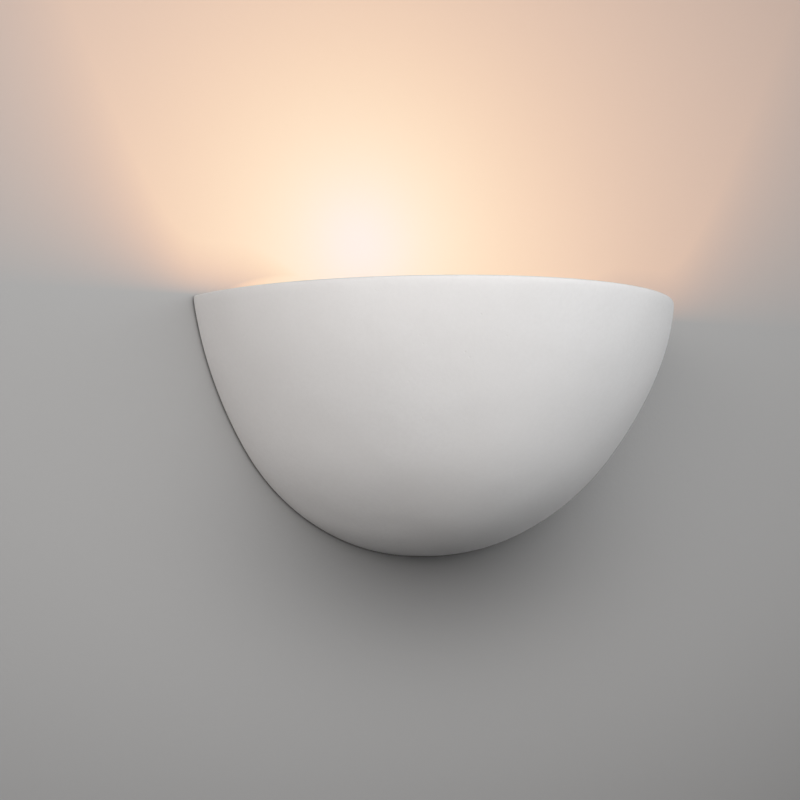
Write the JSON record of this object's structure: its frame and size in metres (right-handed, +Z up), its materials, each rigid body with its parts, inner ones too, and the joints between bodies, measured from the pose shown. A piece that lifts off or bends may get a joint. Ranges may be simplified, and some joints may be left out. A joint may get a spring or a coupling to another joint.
{
  "type": "wall sconce",
  "caption": "Half-bowl plaster uplighter open at the top, drawn off a steel wall bracket that carries a screw lampholder and globe lamp.",
  "frame": {"origin": "on the wall face of the bracket, midway between the two wall screw slots", "axes": "+X along the wall to the right as seen from the room, +Y into the wall, +Z up"},
  "size_m": [0.3, 0.1772, 0.153],
  "materials": {
    "plaster": "matt, fine cast surface, painted white",
    "zinc_steel": "zinc-plated sheet",
    "nickel": "satin nickel plate",
    "brass": "bright brass",
    "porcelain": "glazed",
    "black_rubber": "matt",
    "white_nylon": "moulded",
    "wire_brown": "silicone",
    "wire_blue": "silicone",
    "wire_earth": "silicone with a yellow stripe",
    "opal_globe": "frosted, lit",
    "lamp_white": "smooth moulded",
    "board_white": "solder mask",
    "led_yellow": "phosphor, lit",
    "black_glass": "vitrified insulator"
  },
  "bodies": {
    "frame": {"wall_bracket": "zinc_steel", "shade_studs": "zinc_steel", "cable_bushing": "black_rubber", "terminal_block": "white_nylon", "terminal_clamps": "brass", "terminal_screws": "zinc_steel", "block_screw": "zinc_steel", "earth_lug": "nickel", "earth_washer": "zinc_steel", "earth_screw": "brass", "holder_arm": "zinc_steel", "arm_rivets": "zinc_steel", "holder_porcelain": "porcelain", "holder_shell": "nickel", "holder_centre_contact": "brass", "holder_rivets": "brass", "holder_terminals": "brass", "holder_terminal_screws": "zinc_steel", "holder_screws": "zinc_steel", "live_wire": "wire_brown", "neutral_wire": "wire_blue", "earth_wire": "wire_earth", "wire_ferrules": "nickel"},
    "shade": {"shade": "plaster", "stud_washers": "white_nylon"},
    "nut_left": {"thumb_nut_left": "nickel"},
    "nut_right": {"thumb_nut_right": "nickel"},
    "lamp": {"lamp_globe": "opal_globe", "lamp_board": "board_white", "lamp_leds": "led_yellow", "lamp_housing": "lamp_white", "lamp_cap": "nickel", "lamp_insulator": "black_glass", "lamp_tip": "nickel"}
  },
  "joints": [
    {"name": "shade_draw", "type": "slide", "parent": "frame", "child": "shade", "axis": [0, -1, 0], "range_m": [0, 0.032]},
    {"name": "nut_left_turn", "type": "hinge", "parent": "shade", "child": "nut_left", "pos_m": [-0.09995, -0.02, 0], "axis": [0, -1, 0], "continuous": true},
    {"name": "nut_right_turn", "type": "hinge", "parent": "shade", "child": "nut_right", "pos_m": [0.09995, -0.02, 0], "axis": [0, -1, 0], "continuous": true},
    {"name": "lamp_lift", "type": "slide", "parent": "frame", "child": "lamp", "axis": [0, 0, 1], "range_m": [0, 0.07]}
  ]
}
